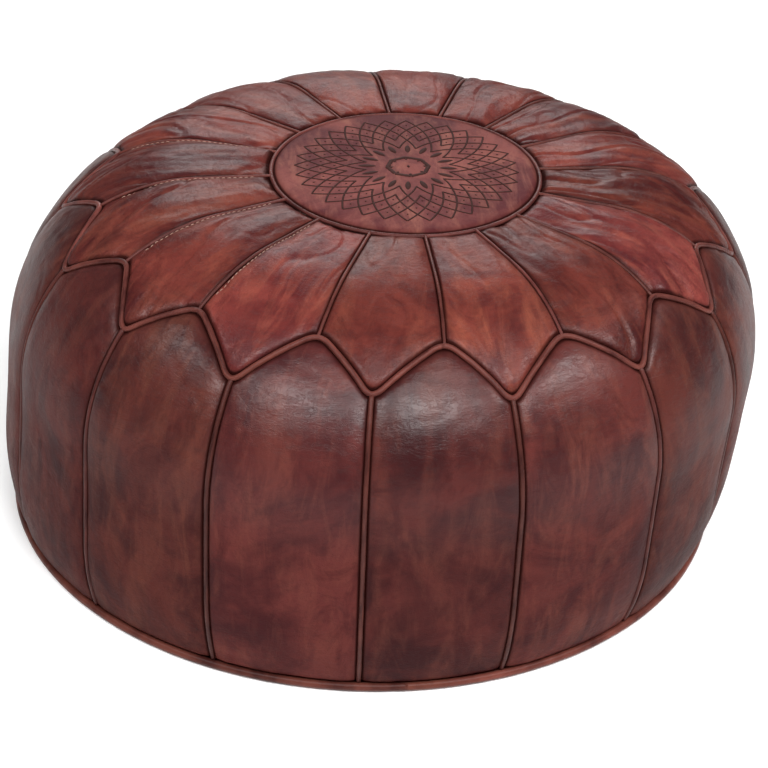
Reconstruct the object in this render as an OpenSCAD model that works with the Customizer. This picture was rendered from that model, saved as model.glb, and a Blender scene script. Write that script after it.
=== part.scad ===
/* [Overall] */
// Largest radius of the leather belly, welts left out
body_r = 297; // [260:1:330]
// Height of the flat middle of the top above the floor
top_z = 285; // [270:1:320]
// Number of petals on the top, and of panels round the side
panels = 16; // [12:1:18]

/* [Side profile] */
// Height at which the lower curve meets the straight wall
lower_z = 70; // [60:1:80]
// Radius of the lower curve
lower_r = 197; // [170:1:220]
// Radius of the rounded shoulder
shoulder_r = 135; // [120:1:140]

/* [Seam lines] */
// Outer radius of the round medallion
medallion_r = 102; // [92:1:110]
// Radius of the inner corners of the zigzag seam
peak_r = 234; // [225:1:240]
// Radius of the outer corners of the zigzag seam
valley_r = 268.5; // [262:0.5:275]

/* [Leather] */
// Thickness of the leather
leather_t = 1.4; // [1:0.1:1.8]
// Radius of the raised welts in the seams
welt_r = 3; // [2.4:0.1:3.2]
// Radius of the thicker welt round the base
base_welt_r = 3.4; // [3:0.1:3.6]
// Radius of the cord inside the base welt
base_cord_r = 1.7; // [1.2:0.1:2]

/* [Lining and filling] */
// Thickness of the cotton liner
liner_t = 0.8; // [0.5:0.1:1]
// Depth of the liner's outer face below the leather's outer face
liner_in = 3.4; // [3.3:0.1:4]

/* [Base] */
// Inner radius of the flat ring that stands on the floor
foot_in_r = 240; // [230:1:250]
// Outer radius of the flat ring that stands on the floor
foot_out_r = 281.5; // [278:0.5:282]
// Height of the drawn-in middle of the base
recess_z = 7; // [6.8:0.1:8]

/* [Zip] */
// Length of the closed chain of teeth
chain_l = 380; // [300:10:390]
// Distance from one tooth to the next on one tape
tooth_pitch = 5; // [4:0.5:6]
// Width of one tape
tape_w = 13.6; // [12:0.2:16]
// Length of the pull tab beyond its hinge
tab_l = 26; // [18:1:30]

/* [Embroidery] */
// Width of one line of thread
thread_w = 1.3; // [1:0.1:1.6]
// Number of scallops round the rim of the pattern
scallops = 32; // [24:4:36]
// Radius of the pattern
pattern_r = 85.5; // [78:0.5:88]

/* [Hidden] */
$fn = 48;
half_pitch = 180 / panels;
// Two faces that only touch are drawn this far apart
slack = 0.1;
seam_gap = welt_r + slack;
welt_sides = 8;
shoulder_x = body_r - shoulder_r;
shoulder_z = top_z - shoulder_r;
lower_x = body_r - lower_r;
side_floor_z = 2 * base_welt_r + 0.6;
base_welt_z = base_welt_r + 0.5;
base_welt_x = foot_out_r + base_welt_r + 0.4;
cone_run = 25;
tape_z = recess_z + leather_t;
tape_t = 0.8;
chain_z = tape_z + tape_t / 2;
tooth_h = 2.8;
tooth_l = 2.2;
tape_in_y = 2.4;
slider_l = 14;
slider_w = 11;
slider_wall = 1.2;
slider_h = tooth_h + 2 * slider_wall + 0.4;
slider_x = chain_l / 2 - 0.5;
pin_r = 0.9;
pin_z = chain_z - slider_h / 2 - 2.2;
ceiling_z = chain_z + slider_h / 2 + 0.8;

// ---- helpers ----

function numbered(name, i) = str(name, "_", i < 10 ? "0" : "", i);
// A point in plan, its angle counted from the front (-Y) towards +X
function plan(r, a) = [r * sin(a), -r * cos(a)];
function unit(v) = v / norm(v);
function left(v) = [-v[1], v[0]];
function meet(p, u, q, v) = p + u * cross(q - p, v) / cross(u, v);
// A convex outline, listed anticlockwise, with every side moved inwards by d
function inset(pts, d) = [
    for (i = [0:len(pts) - 1])
        let (a = pts[(i + len(pts) - 1) % len(pts)], b = pts[i], c = pts[(i + 1) % len(pts)])
        let (u = unit(b - a), v = unit(c - b))
        meet(a + d * left(u), u, b + d * left(v), v)
];
function shoulder_height(r) = shoulder_z + sqrt(pow(shoulder_r, 2) - pow(max(r - shoulder_x, 0), 2));
function shoulder_angle(r) = acos((r - shoulder_x) / shoulder_r);

// Half-section of a sheet between two depths below the outer surface of the leather
module sheet_2d(outer, inner, floor_z, middle_x = 0) {
    translate([middle_x, top_z - inner])
        square([shoulder_x - middle_x, inner - outer]);
    translate([shoulder_x, shoulder_z])
        intersection() {
            difference() {
                circle(r = shoulder_r - outer);
                circle(r = shoulder_r - inner);
            }
            square(shoulder_r + 1);
        }
    translate([body_r - inner, lower_z])
        square([inner - outer, shoulder_z - lower_z]);
    intersection() {
        translate([lower_x, lower_z])
            difference() {
                circle(r = lower_r - outer);
                circle(r = lower_r - inner);
            }
        translate([lower_x, floor_z])
            square([lower_r + 1, lower_z - floor_z]);
    }
}

// Half-section of everything deeper than d below the leather's outer face
module solid_2d(d, floor_z) {
    translate([0, shoulder_z])
        square([shoulder_x, shoulder_r - d]);
    translate([shoulder_x, shoulder_z])
        intersection() {
            circle(r = shoulder_r - d);
            square(shoulder_r);
        }
    translate([0, lower_z])
        square([body_r - d, shoulder_z - lower_z]);
    intersection() {
        translate([lower_x, lower_z])
            circle(r = lower_r - d);
        translate([lower_x, floor_z])
            square([lower_r, lower_z - floor_z]);
    }
    translate([0, floor_z])
        square([lower_x, lower_z - floor_z]);
}

// A slice of a turned half-section, centred on plan angle a
module turned(a, spread) {
    rotate([0, 0, a - 90 - spread / 2])
        rotate_extrude(angle = spread, $fn = 144)
            children();
}

// A point on the rounded shoulder, t degrees down from its top, in the plane y = 0
function on_shoulder(t) = [shoulder_x + shoulder_r * sin(t), 0, shoulder_z + shoulder_r * cos(t)];
function on_lower_curve(t) = [lower_x + lower_r * cos(t), 0, lower_z - lower_r * sin(t)];
// A ring of points round a place on a welt, where `across` lies level and may be stretched by a mitre
function ring(here, along, across) =
    let (up = unit(cross(along, across)))
    [for (k = [0:welt_sides - 1]) here
        + welt_r * cos(360 * k / welt_sides) * across
        + welt_r * sin(360 * k / welt_sides) * up];
// The rings of a welt that runs down the side in the plane y = 0
function upright_rings(path) = [
    for (i = [0:len(path) - 1])
        ring(path[i], unit(path[min(i + 1, len(path) - 1)] - path[max(i - 1, 0)]), [0, 1, 0])
];

// A solid through a list of rings, joined end to end or capped
module tube(rings, closed) {
    count = len(rings);
    spans = closed ? count : count - 1;
    walls = [
        for (i = [0:spans - 1], k = [0:welt_sides - 1])
            let (a = i * welt_sides, b = ((i + 1) % count) * welt_sides, n = (k + 1) % welt_sides)
            each [[a + k, b + k, b + n], [a + k, b + n, a + n]]
    ];
    first_cap = [for (k = [0:welt_sides - 1]) k];
    last_cap = [for (k = [welt_sides - 1:-1:0]) (count - 1) * welt_sides + k];
    polyhedron(
        points = [for (r = rings) each r],
        faces = closed ? walls : concat(walls, [first_cap, last_cap]),
        convexity = 8
    );
}

module round_the_seams(offset_a = 0) {
    for (i = [0:panels - 1])
        rotate([0, 0, 2 * half_pitch * i + offset_a - 90])
            children();
}

// ---- top ----

module top_medallion() {
    color([0.42, 0.27, 0.25])
        translate([0, 0, top_z - leather_t])
            cylinder(r = medallion_r - slack, h = leather_t, $fn = 144);
}

module medallion_welt() {
    color([0.30, 0.14, 0.13])
        translate([0, 0, top_z])
            rotate_extrude($fn = 144)
                translate([medallion_r + welt_r, 0])
                    circle(r = welt_r, $fn = 24);
}

// Petal i lies between the radial seams i - 1 and i, with its tip on the side seam between them
module top_petal(i) {
    a = 2 * half_pitch * (i - 0.5);
    outline = [
        [0, 0],
        plan(peak_r, a - half_pitch),
        plan(valley_r, a),
        plan(peak_r, a + half_pitch)
    ];
    color(i % 3 == 0 ? [0.53, 0.28, 0.22] : [0.48, 0.26, 0.24])
        intersection() {
            turned(a, 3 * half_pitch)
                sheet_2d(0, leather_t, side_floor_z, medallion_r + 2 * welt_r + slack);
            translate([0, 0, shoulder_z])
                linear_extrude(height = shoulder_r + 10)
                    polygon(inset(outline, seam_gap));
        }
}

module radial_welts() {
    inner_x = medallion_r + 2 * welt_r + slack;
    low_t = 90 - shoulder_angle(peak_r - 1.3 * welt_r);
    path = concat([[inner_x, 0, top_z]], [for (t = [0:low_t / 5:low_t + 0.01]) on_shoulder(t)]);
    color([0.30, 0.14, 0.13])
        round_the_seams()
            tube(upright_rings(path), false);
}

module zigzag_welt() {
    steps = 7;
    count = 2 * panels * steps;
    function corner(i) = plan(i % 2 == 0 ? peak_r : valley_r, half_pitch * i);
    function spot(i) = let (c = floor(i / steps), t = i / steps - c) (1 - t) * corner(c) + t * corner(c + 1);
    function on_surface(p) = [p[0], p[1], shoulder_height(norm(p))];
    path = [for (i = [0:count - 1]) on_surface(spot(i))];
    // The corners are mitred, so that the straight runs keep their full width
    function mitred(i) =
        let (before = path[i] - path[(i + count - 1) % count], after = path[(i + 1) % count] - path[i])
        let (u = unit([before[0], before[1]]), v = unit([after[0], after[1]]), mitre = unit(left(u) + left(v)))
        ring(path[i], unit(unit(before) + unit(after)), [mitre[0], mitre[1], 0] / (mitre * left(u)));
    color([0.30, 0.14, 0.13])
        tube([for (i = [0:count - 1]) mitred(i)], true);
}

// ---- embroidery ----

// A line of thread of even width along a list of points
module thread(pts) {
    last = len(pts) - 1;
    function side(i) = left(unit(pts[min(i + 1, last)] - pts[max(i - 1, 0)])) * thread_w / 2;
    polygon(concat([for (i = [0:last]) pts[i] - side(i)], [for (i = [last:-1:0]) pts[i] + side(i)]));
}

// One of the interlaced arcs, which runs from the rim inwards while it turns by `turn`
module lace(turn) {
    thread([for (t = [0:0.2:1]) plan(pattern_r * (0.99 - 0.445 * t), turn * t)]);
}

module leaf() {
    polygon([for (a = [0:60:300]) [2.7 * sin(a), -0.36 * pattern_r - 7.6 * cos(a)]]);
}

module medallion_embroidery() {
    star_r = 0.55 * pattern_r;
    color([0.16, 0.08, 0.07])
        translate([0, 0, top_z + 0.02])
            linear_extrude(height = 0.5)
                offset(delta = 0.01) {
                    for (i = [0:scallops - 1])
                        rotate([0, 0, i * 360 / scallops]) {
                            lace(22.5);
                            lace(-22.5);
                        }
                    for (i = [0:15])
                        rotate([0, 0, i * 22.5]) {
                            thread([plan(star_r, -11.25), plan(0.68 * star_r, 0), plan(star_r, 11.25)]);
                            rotate([0, 0, 11.25])
                                leaf();
                        }
                    difference() {
                        circle(r = 17.5, $fn = 8);
                        circle(r = 14.2, $fn = 8);
                    }
                    circle(r = 3, $fn = 4);
                }
}

// ---- side ----

// Side panel i has its pointed top at radial seam i - 1
module side_panel(i) {
    a = 2 * half_pitch * (i - 1);
    far_r = 1.3 * body_r;
    outline = [
        plan(peak_r, a),
        plan(valley_r, a - half_pitch),
        plan(far_r, a - half_pitch),
        plan(far_r, a + half_pitch),
        plan(valley_r, a + half_pitch)
    ];
    color(i % 2 == 0 ? [0.36, 0.20, 0.19] : [0.40, 0.22, 0.20])
        intersection() {
            turned(a, 3 * half_pitch)
                sheet_2d(0, leather_t, side_floor_z, shoulder_x - 1);
            linear_extrude(height = top_z + 10)
                polygon(inset(outline, seam_gap));
        }
}

module side_welts() {
    top_t = 90 - shoulder_angle(valley_r) + 1.6 * welt_r / shoulder_r * 180 / PI;
    low_t = asin((lower_z - side_floor_z) / lower_r);
    path = concat(
        [for (t = [top_t:(90 - top_t) / 5:90.01]) on_shoulder(t)],
        [for (t = [0:low_t / 3:low_t + 0.01]) on_lower_curve(t)]
    );
    color([0.27, 0.12, 0.11])
        round_the_seams(half_pitch)
            tube(upright_rings(path), false);
}

// ---- base ----

module base_welt() {
    color([0.33, 0.17, 0.15])
        translate([0, 0, base_welt_z])
            rotate_extrude($fn = 144)
                translate([base_welt_x, 0])
                    difference() {
                        circle(r = base_welt_r, $fn = 24);
                        circle(r = base_cord_r + 0.02, $fn = 24);
                    }
}

module base_welt_cord() {
    color([0.80, 0.76, 0.68])
        translate([0, 0, base_welt_z])
            rotate_extrude($fn = 144)
                translate([base_welt_x, 0])
                    circle(r = base_cord_r, $fn = 24);
}

module base_half(a) {
    cone_in = foot_in_r - cone_run;
    color([0.30, 0.16, 0.14])
        rotate([0, 0, a])
            difference() {
                rotate_extrude(angle = 180, $fn = 144)
                    polygon([
                        [0, recess_z],
                        [cone_in, recess_z],
                        [foot_in_r, 0],
                        [foot_out_r, 0],
                        [foot_out_r, leather_t],
                        [foot_in_r + 0.3, leather_t],
                        [cone_in + 0.3, recess_z + leather_t],
                        [0, recess_z + leather_t]
                    ]);
                translate([-body_r, -1, -1])
                    cube([2 * body_r, 1 + slack, 20]);
                translate([-chain_l / 2 - 16, -1, -1])
                    cube([chain_l + 32, 1 + slider_w / 2 + 1, 20]);
            }
}

module base_front() { base_half(180); }

module base_back() { base_half(0); }

// ---- zip ----

module zip_tape(a) {
    color([0.16, 0.12, 0.11])
        rotate([0, 0, a])
            translate([-chain_l / 2 - 14, tape_in_y, tape_z])
                cube([chain_l + 28, tape_w, tape_t]);
}

// What the tapes fill, drawn a little larger, so that the metal clamps round them
module tape_slots() {
    for (a = [0, 180])
        rotate([0, 0, a])
            translate([-chain_l / 2 - 20, tape_in_y - 0.05, tape_z - 0.05])
                cube([chain_l + 40, tape_w, tape_t + 0.1]);
}

module zip_teeth(a, shift) {
    count = floor((chain_l - tooth_pitch) / tooth_pitch);
    color([0.72, 0.58, 0.32])
        difference() {
            for (i = [0:count - 1])
                translate([-chain_l / 2 + 3 + i * tooth_pitch + shift, 0, chain_z - tooth_h / 2])
                    rotate([0, 0, a])
                        translate([-tooth_l / 2, -1.1, 0])
                            cube([tooth_l, 5, tooth_h]);
            tape_slots();
        }
}

module zip_bottom_stop() {
    color([0.72, 0.58, 0.32])
        difference() {
            translate([-chain_l / 2 - 3, -3.6, chain_z - tooth_h / 2])
                cube([4, 7.2, tooth_h]);
            tape_slots();
        }
}

module zip_top_stops() {
    color([0.72, 0.58, 0.32])
        difference() {
            for (y = [-3.6, 1.2])
                translate([slider_x + slider_l / 2 + slack, y, chain_z - tooth_h / 2])
                    cube([3, 2.4, tooth_h]);
            tape_slots();
        }
}

module zip_slider() {
    under_z = chain_z - slider_h / 2;
    lug_y = 2;
    color([0.75, 0.62, 0.36])
        union() {
            translate([slider_x, 0, 0])
                difference() {
                    translate([-slider_l / 2, -slider_w / 2, under_z])
                        cube([slider_l, slider_w, slider_h]);
                    translate([-slider_l / 2 - 1, -4.1, chain_z - tooth_h / 2 - 0.2])
                        cube([slider_l + 2, 8.2, tooth_h + 0.4]);
                    translate([-slider_l / 2 - 1, -slider_w, tape_z - 0.2])
                        cube([slider_l + 2, 2 * slider_w, tape_t + 0.4]);
                }
            // The wedge that parts the two rows
            translate([slider_x, 0, under_z + slider_wall / 2])
                linear_extrude(height = slider_h - slider_wall)
                    polygon([[2, 0], [slider_l / 2, -1.4], [slider_l / 2, 1.4]]);
            // The lugs and pin that hold the pull
            for (s = [-1, 1])
                translate([slider_x - 2, s * (lug_y + 0.5), pin_z])
                    rotate([90, 0, 0])
                        cylinder(r = 1.6, h = 1, center = true);
            for (s = [-1, 1])
                translate([slider_x - 3.6, s * (lug_y + 0.5) - 0.5, pin_z])
                    cube([3.2, 1, under_z - pin_z + 0.4]);
            translate([slider_x - 2, 0, pin_z])
                rotate([90, 0, 0])
                    cylinder(r = pin_r, h = 2 * lug_y + 1, center = true, $fn = 32);
        }
}

module zip_pull() {
    eye_r = 1.95;
    eye_w = 3.6;
    color([0.75, 0.62, 0.36])
        translate([slider_x - 2, 0, pin_z])
            difference() {
                union() {
                    rotate([90, 0, 0])
                        cylinder(r = eye_r, h = eye_w, center = true, $fn = 32);
                    translate([0, -eye_w / 2, -0.7])
                        cube([6, eye_w, 1.4]);
                    translate([5, -4, -0.7])
                        cube([tab_l - 9, 8, 1.4]);
                    translate([tab_l - 4, 0, 0])
                        cylinder(r = 4, h = 1.4, center = true, $fn = 32);
                }
                rotate([90, 0, 0])
                    cylinder(r = pin_r + 0.05, h = 2 * eye_w, center = true, $fn = 32);
                translate([tab_l - 4, 0, 0])
                    cylinder(r = 1.5, h = 5, center = true, $fn = 24);
            }
}

module zip_tape_front() { zip_tape(180); }

module zip_tape_back() { zip_tape(0); }

module zip_teeth_front() { zip_teeth(180, 0); }

module zip_teeth_back() { zip_teeth(0, tooth_pitch / 2); }

// ---- inside ----

// Half-section of the space above the base, which rises over the drawn-in middle
module above_base_2d(d) {
    cone_in = foot_in_r - cone_run - 8;
    polygon([
        [0, ceiling_z + d],
        [cone_in, ceiling_z + d],
        [foot_in_r, leather_t + 0.4 + d],
        [2 * body_r, leather_t + 0.4 + d],
        [2 * body_r, 2 * top_z],
        [0, 2 * top_z]
    ]);
}

module cotton_liner() {
    color([0.85, 0.82, 0.74])
        rotate_extrude($fn = 144)
            difference() {
                intersection() {
                    solid_2d(liner_in + 0.3, 0);
                    above_base_2d(0);
                }
                intersection() {
                    solid_2d(liner_in + 0.3 + liner_t, 0);
                    above_base_2d(liner_t);
                }
            }
}

module filling() {
    color([0.93, 0.91, 0.85])
        rotate_extrude($fn = 144)
            intersection() {
                solid_2d(liner_in + liner_t + 0.6, 0);
                above_base_2d(liner_t + 0.3);
            }
}

top_medallion();
medallion_embroidery();
medallion_welt();
radial_welts();
zigzag_welt();
side_welts();
base_welt();
base_welt_cord();
base_front();
base_back();
zip_tape_front();
zip_tape_back();
zip_teeth_front();
zip_teeth_back();
zip_bottom_stop();
zip_top_stops();
zip_slider();
zip_pull();
cotton_liner();
filling();
for (i = [1:panels]) {
    top_petal(i);
    side_panel(i);
}
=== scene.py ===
"""A round leather pouf: petals and side panels with piped welts, an embroidered middle, and a zip below."""
import math

import bpy
import numpy as np
from mathutils import Matrix, Vector


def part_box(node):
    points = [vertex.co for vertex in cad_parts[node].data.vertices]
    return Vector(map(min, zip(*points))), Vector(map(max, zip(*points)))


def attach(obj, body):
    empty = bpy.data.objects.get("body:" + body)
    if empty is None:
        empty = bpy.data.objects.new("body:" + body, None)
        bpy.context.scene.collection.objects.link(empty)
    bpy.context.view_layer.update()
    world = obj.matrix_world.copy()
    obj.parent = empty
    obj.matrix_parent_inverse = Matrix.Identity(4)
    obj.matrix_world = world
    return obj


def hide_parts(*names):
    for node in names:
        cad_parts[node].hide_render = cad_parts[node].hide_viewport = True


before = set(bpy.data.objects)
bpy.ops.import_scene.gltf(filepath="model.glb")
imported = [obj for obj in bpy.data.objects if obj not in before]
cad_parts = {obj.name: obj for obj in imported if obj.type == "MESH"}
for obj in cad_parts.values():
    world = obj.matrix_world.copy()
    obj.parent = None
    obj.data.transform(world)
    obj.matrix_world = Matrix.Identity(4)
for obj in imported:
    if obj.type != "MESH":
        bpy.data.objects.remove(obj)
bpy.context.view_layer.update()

MM = 0.001

# ---- sizes from the CAD frame, in metres ----

PANELS = sum(name.startswith("top_petal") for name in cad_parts)
PITCH = 2 * math.pi / PANELS
TOP_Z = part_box("top_medallion")[1][2]
WELT_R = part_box("medallion_welt")[1][2] - TOP_Z
RING_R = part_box("medallion_welt")[1][0] - WELT_R
BELLY_R = -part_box("side_panel_01")[0][1]
BASE_WELT_R = (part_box("base_welt")[1][2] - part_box("base_welt")[0][2]) / 2
BASE_WELT_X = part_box("base_welt")[1][0] - BASE_WELT_R
BASE_WELT_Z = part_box("base_welt")[0][2] + BASE_WELT_R
HEM_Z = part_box("side_panel_01")[0][2]
FOOT_R = 0.240
LEATHER_T = 1.4 * MM
ZIP_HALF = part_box("zip_tape_back")[1][0] + 2.0 * MM
ZIP_EDGE = (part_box("zip_slider")[1][1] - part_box("zip_slider")[0][1]) / 2 + 1.0 * MM

# Shape of the side, and the corners of the zigzag seam, as in the CAD source
SHOULDER_R = 0.135
SHOULDER_X = BELLY_R - SHOULDER_R
SHOULDER_Z = TOP_Z - SHOULDER_R
LOWER_R = 0.197
LOWER_Z = 0.070
PEAK_R = 0.234
VALLEY_R = 0.2685

# The raised cords in the seams, and how deep the leather dips beside them
ZIGZAG_CORD_R = 2.15 * MM
SIDE_CORD_R = 1.85 * MM
RADIAL_CORD_R = 1.25 * MM
RING_CORD_R = 1.6 * MM
HEM_CORD_R = 0.9 * MM  # The hem has no cord of its own, so the leather dips less there
CORD_DROP = 2.8 * MM
EDGE_DROP = 0.8 * MM
GROOVE = 2.6 * MM
DIP = 1.5 * MM
CORNER_ROUNDING = 0.13

# How the soft body departs from the upright, even CAD shape
LEAN = 0.08
FACING = math.radians(8.1)
BASE_TWIST = math.radians(4.0)
TWIST_TOP_Z = 0.24
LEAN_FROM_Z = 0.008
DRIFT = (5.0 * MM, 7.0 * MM)
DRIFT_R = 0.26

WALL_H = SHOULDER_Z - LOWER_Z
SHOULDER_ARC = SHOULDER_R * math.pi / 2
HEM_S = SHOULDER_X + SHOULDER_ARC + WALL_H + LOWER_R * math.asin((LOWER_Z - HEM_Z) / LOWER_R)

rng = np.random.default_rng(16)


# ---- the surface of the body ----


def profile(s):
    """Radius, height and outward normal at a distance s along the leather from the middle of the top."""
    s = np.asarray(s, float)
    bend = np.clip((s - SHOULDER_X) / SHOULDER_R, 0, math.pi / 2)
    drop = np.clip(s - SHOULDER_X - SHOULDER_ARC, 0, WALL_H)
    tuck = np.clip((s - SHOULDER_X - SHOULDER_ARC - WALL_H) / LOWER_R, 0, 0.6)
    r = np.minimum(s, SHOULDER_X) + SHOULDER_R * np.sin(bend) - LOWER_R * (1 - np.cos(tuck))
    z = TOP_Z - SHOULDER_R * (1 - np.cos(bend)) - drop - LOWER_R * np.sin(tuck)
    return r, z, np.sin(bend + tuck), np.cos(bend + tuck)


def along(r):
    """The distance s at which the top or shoulder has radius r."""
    r = np.asarray(r, float)
    past = np.clip((r - SHOULDER_X) / SHOULDER_R, 0, 1)
    return np.where(r < SHOULDER_X, r, SHOULDER_X + SHOULDER_R * np.arcsin(past))


def on_body(s, a, out=0.0):
    """Points of the upright body, `out` metres proud of the leather. Angle a counts from -Y towards +X."""
    r, z, nr, nz = profile(s)
    r = r + nr * out
    return np.stack([r * np.sin(a), -r * np.cos(a), z + nz * out], axis=-1)


def settle(points):
    """Lean the body, turn its base under its top, and move the middle of its top, as if sat on."""
    p = np.array(points, float)
    x, y, z = p[..., 0], p[..., 1], p[..., 2]
    turn = BASE_TWIST * np.clip(1 - z / TWIST_TOP_Z, 0, 1)
    c, s = np.cos(turn), np.sin(turn)
    shift = LEAN * np.clip(z - LEAN_FROM_Z, 0, None)
    drift = np.clip(1 - np.hypot(x, y) / DRIFT_R, 0, 1) * np.clip(z / 0.05 - 4, 0, 1)
    return np.stack(
        [
            x * c - y * s + shift * math.cos(FACING) + DRIFT[0] * drift,
            x * s + y * c - shift * math.sin(FACING) + DRIFT[1] * drift,
            z,
        ],
        axis=-1,
    )


def plan_polar(r, a):
    return np.array([r * math.sin(a), -r * math.cos(a)])


# ---- where the seams run ----


def jitter(size):
    return rng.uniform(-size, size, PANELS)


def pulled(a):
    """How strongly the front of the zigzag is drawn in towards the middle, at angle a."""
    return math.exp(-((math.remainder(a + 0.24, 2 * math.pi) / 0.40) ** 2))


def corners(radius, offset, pull, wander):
    """One corner of the zigzag seam for each panel, none quite where an even pattern would put it."""
    angles = (np.arange(PANELS) + offset) * PITCH
    shifts = zip(angles, jitter(wander), jitter(0.012))
    return [plan_polar(radius - pull * pulled(a) + dr, a + da) for a, dr, da in shifts]


PEAKS = corners(PEAK_R, 0.0, 8.0 * MM, 1.5 * MM)
VALLEYS = corners(VALLEY_R, 0.5, 5.0 * MM, 1.5 * MM)
SEAM_BOW = jitter(0.006)


def polar(p, near):
    """Radius and angle of a point in plan, the angle within half a turn of `near`."""
    r = math.hypot(p[0], p[1])
    a = math.atan2(p[0], -p[1])
    return r, a + 2 * math.pi * round((near - a) / (2 * math.pi))


def zigzag_corner(n):
    """Corner n of the zigzag seam in plan: even ones are peaks and odd ones are valleys."""
    return (PEAKS if n % 2 == 0 else VALLEYS)[(n // 2) % PANELS]


def on_straights(c):
    """The zigzag seam at c in plan, before its corners are rounded."""
    k, t = int(math.floor(c)), c - math.floor(c)
    return (1 - t) * zigzag_corner(k) + t * zigzag_corner(k + 1)


def zigzag(c):
    """Radius and angle of the zigzag seam at c, where peak k is c = 2k and the valley after it 2k + 1."""
    near = np.linspace(-CORNER_ROUNDING, CORNER_ROUNDING, 5)
    return polar(np.mean([on_straights(c + d) for d in near], axis=0), c * PITCH / 2)


def side_bow(k, v):
    """How far side seam k strays sideways, as an angle, at v from its top to the hem."""
    return SEAM_BOW[k % PANELS] * np.sin(math.pi * np.asarray(v))


# ---- panels as grids ----


def petal_grid(i, columns, rows):
    """s and angle of each point of petal i, which lies between radial seams i and i + 1."""
    s, a = np.zeros((columns + 1, rows + 1)), np.zeros((columns + 1, rows + 1))
    v = np.linspace(0, 1, rows + 1)
    for n in range(columns + 1):
        r, angle = zigzag(2 * i + 2 * n / columns)
        s[n] = RING_R + (along(r) - RING_R) * v
        a[n] = angle
    return s, a


def side_grid(j, columns, rows):
    """s and angle of each point of side panel j, whose point is at radial seam j."""
    s, a = np.zeros((columns + 1, rows + 1)), np.zeros((columns + 1, rows + 1))
    v = np.linspace(0, 1, rows + 1)
    for n in range(columns + 1):
        u = n / columns
        r, angle = zigzag(2 * j - 1 + 2 * u)
        s[n] = along(r) + (HEM_S - along(r)) * v
        even = (j - 0.5 + u) * PITCH
        bow = (1 - u) * side_bow(j - 1, v) + u * side_bow(j, v)
        a[n] = angle + (even - angle) * 0.5 * v * (1 - abs(2 * u - 1)) + bow
    return s, a


def rim(shape):
    """True at the edge of a grid."""
    edge = np.zeros(shape, bool)
    edge[0], edge[-1], edge[:, 0], edge[:, -1] = True, True, True, True
    return edge


def fullness(shape):
    """0 at the edge of a panel, rising to 1 in its middle."""
    u = np.linspace(0, 1, shape[0])[:, None]
    v = np.linspace(0, 1, shape[1])[None, :]
    return np.sqrt(np.sqrt(16 * u * (1 - u) * v * (1 - v)).clip(0, 1))


def grid_faces(columns, rows, first=0):
    n = np.arange(columns)[:, None] * (rows + 1) + np.arange(rows)[None, :] + first
    return np.stack([n, n + 1, n + rows + 2, n + rows + 1], axis=-1).reshape(-1, 4)


# ---- cloth ----


def inflate(panels, frames, pressure, stiffness):
    """Blow up a list of panels, each (start, rest, pinned) on a grid, in one cloth run, edges held."""
    start = np.concatenate([p[0].reshape(-1, 3) for p in panels])
    rest = np.concatenate([p[1].reshape(-1, 3) for p in panels])
    pins = np.concatenate([p[2].ravel() for p in panels])
    faces, first = [], 0
    for grid, _, _ in panels:
        faces.append(grid_faces(grid.shape[0] - 1, grid.shape[1] - 1, first))
        first += grid.shape[0] * grid.shape[1]
    mesh = bpy.data.meshes.new("cloth_run")
    mesh.from_pydata(start.tolist(), [], np.concatenate(faces).tolist())
    cloth = bpy.data.objects.new("cloth_run", mesh)
    bpy.context.scene.collection.objects.link(cloth)
    cloth.shape_key_add(name="start")
    key = cloth.shape_key_add(name="rest")
    key.data.foreach_set("co", rest.ravel())
    group = cloth.vertex_groups.new(name="seams")
    group.add(np.nonzero(pins)[0].tolist(), 1.0, "REPLACE")
    run = cloth.modifiers.new("cloth", "CLOTH")
    settings = run.settings
    settings.quality = 6
    settings.mass = 0.25
    settings.tension_stiffness = settings.compression_stiffness = stiffness
    settings.shear_stiffness = 0.5 * stiffness
    settings.bending_stiffness = 0.6
    settings.air_damping = 2.0
    settings.vertex_group_mass = "seams"
    settings.rest_shape_key = key
    settings.effector_weights.gravity = 0
    settings.use_pressure = True
    settings.uniform_pressure_force = pressure
    run.collision_settings.use_collision = False
    run.collision_settings.use_self_collision = False
    run.point_cache.frame_start, run.point_cache.frame_end = 1, frames
    for n in range(1, frames + 1):
        bpy.context.scene.frame_set(n)
    blown = cloth.evaluated_get(bpy.context.evaluated_depsgraph_get()).to_mesh()
    points = np.empty(len(blown.vertices) * 3)
    blown.vertices.foreach_get("co", points)
    bpy.context.scene.frame_set(1)
    bpy.data.objects.remove(cloth)
    points, shapes, at = points.reshape(-1, 3), [], 0
    for grid, _, _ in panels:
        count = grid.shape[0] * grid.shape[1]
        shapes.append(points[at : at + count].reshape(grid.shape))
        at += count
    return shapes


def cloth_panel(s, a, hoop, length):
    """The start, the rest shape and the held edge of a panel cut wider by `hoop` and longer by `length`."""
    full = fullness(s.shape)
    start = on_body(s, a, -EDGE_DROP + 1.5 * MM * full)
    mid_s, mid_a = s.mean(), a.mean()
    rest = on_body(mid_s + (s - mid_s) * (1 + length), mid_a + (a - mid_a) * (1 + hoop))
    return start, rest, rim(s.shape)


# ---- folds, grooves and fine shape ----


def noise(x, y, seed):
    """Smooth noise over a plane, from about -1 to 1."""
    table = np.random.default_rng(seed).permutation(256)
    column, row = np.floor(x).astype(int), np.floor(y).astype(int)
    fx, fy = x - column, y - row

    def corner(dx, dy):
        angle = table[(table[(column + dx) % 256] + row + dy) % 256] * (2 * math.pi / 256)
        return np.cos(angle) * (fx - dx) + np.sin(angle) * (fy - dy)

    u, v = (t * t * t * (t * (t * 6 - 15) + 10) for t in (fx, fy))
    near = corner(0, 0) * (1 - u) + corner(1, 0) * u
    far = corner(0, 1) * (1 - u) + corner(1, 1) * u
    return 1.4 * (near * (1 - v) + far * v)


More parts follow.
